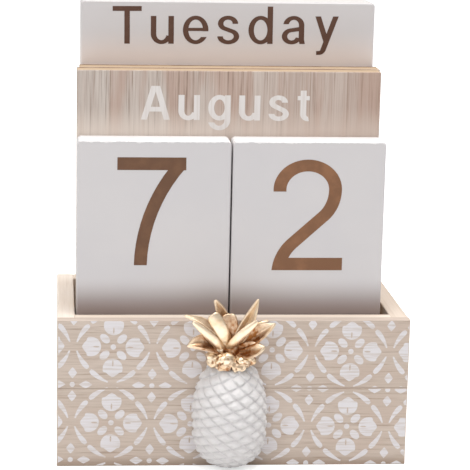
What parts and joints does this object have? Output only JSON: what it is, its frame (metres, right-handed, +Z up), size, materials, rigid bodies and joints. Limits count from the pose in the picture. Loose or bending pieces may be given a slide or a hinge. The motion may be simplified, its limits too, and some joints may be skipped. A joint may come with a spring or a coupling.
{
  "type": "perpetual desk calendar",
  "caption": "Open wooden tray with upright lift-out plates for day numbers, month and weekday, and a cast pineapple on its patterned front.",
  "frame": {"origin": "the middle of the tray's underside, on the surface that it stands on", "axes": "+X to the right along the printed front, +Y from the front to the back, +Z up, along the plates"},
  "size_m": [0.14, 0.096, 0.1818],
  "materials": {
    "tray_wood": "bare pale wood, fine grain, lightly sanded",
    "printed_slat": "bare wood with horizontal grain, screen printed in white",
    "number_paint": "board painted off-white, satin",
    "weekday_paint": "board painted off-white, satin",
    "plywood": "bare plywood, upright grain, layered edges",
    "fruit_paint": "casting, taken for resin, painted matte white",
    "gilding": "casting, taken for resin, gilded bright gold"
  },
  "bodies": {
    "tray": {"tray_floor": "tray_wood", "tray_left_side": "tray_wood", "tray_right_side": "tray_wood", "tray_back_board": "tray_wood", "tray_front_board": "tray_wood", "front_slat_upper": "printed_slat", "front_slat_lower": "printed_slat", "pineapple_fruit": "fruit_paint", "pineapple_collar": "gilding", "pineapple_crown": "gilding"},
    "number_plate_left_body": {"number_plate_left": "number_paint"},
    "number_plate_right_body": {"number_plate_right": "number_paint"},
    "number_plate_left_spare_body": {"number_plate_left_spare": "number_paint"},
    "number_plate_right_spare_body": {"number_plate_right_spare": "number_paint"},
    "month_plate_front_body": {"month_plate_front": "plywood"},
    "month_plate_middle_body": {"month_plate_middle": "plywood"},
    "month_plate_rear_body": {"month_plate_rear": "plywood"},
    "weekday_plate_front_body": {"weekday_plate_front": "weekday_paint"},
    "weekday_plate_rear_body": {"weekday_plate_rear": "weekday_paint"}
  },
  "joints": [
    {"name": "number_plate_left_lift", "type": "slide", "parent": "tray", "child": "number_plate_left_body", "axis": [0, 0, 1], "range_m": [0, 0.054]},
    {"name": "number_plate_right_lift", "type": "slide", "parent": "tray", "child": "number_plate_right_body", "axis": [0, 0, 1], "range_m": [0, 0.054]},
    {"name": "number_plate_left_spare_lift", "type": "slide", "parent": "tray", "child": "number_plate_left_spare_body", "axis": [0, 0, 1], "range_m": [0, 0.054]},
    {"name": "number_plate_right_spare_lift", "type": "slide", "parent": "tray", "child": "number_plate_right_spare_body", "axis": [0, 0, 1], "range_m": [0, 0.054]},
    {"name": "month_plate_front_lift", "type": "slide", "parent": "tray", "child": "month_plate_front_body", "axis": [0, 0, 1], "range_m": [0, 0.054]},
    {"name": "month_plate_middle_lift", "type": "slide", "parent": "tray", "child": "month_plate_middle_body", "axis": [0, 0, 1], "range_m": [0, 0.054]},
    {"name": "month_plate_rear_lift", "type": "slide", "parent": "tray", "child": "month_plate_rear_body", "axis": [0, 0, 1], "range_m": [0, 0.054]},
    {"name": "weekday_plate_front_lift", "type": "slide", "parent": "tray", "child": "weekday_plate_front_body", "axis": [0, 0, 1], "range_m": [0, 0.054]},
    {"name": "weekday_plate_rear_lift", "type": "slide", "parent": "tray", "child": "weekday_plate_rear_body", "axis": [0, 0, 1], "range_m": [0, 0.054]}
  ]
}
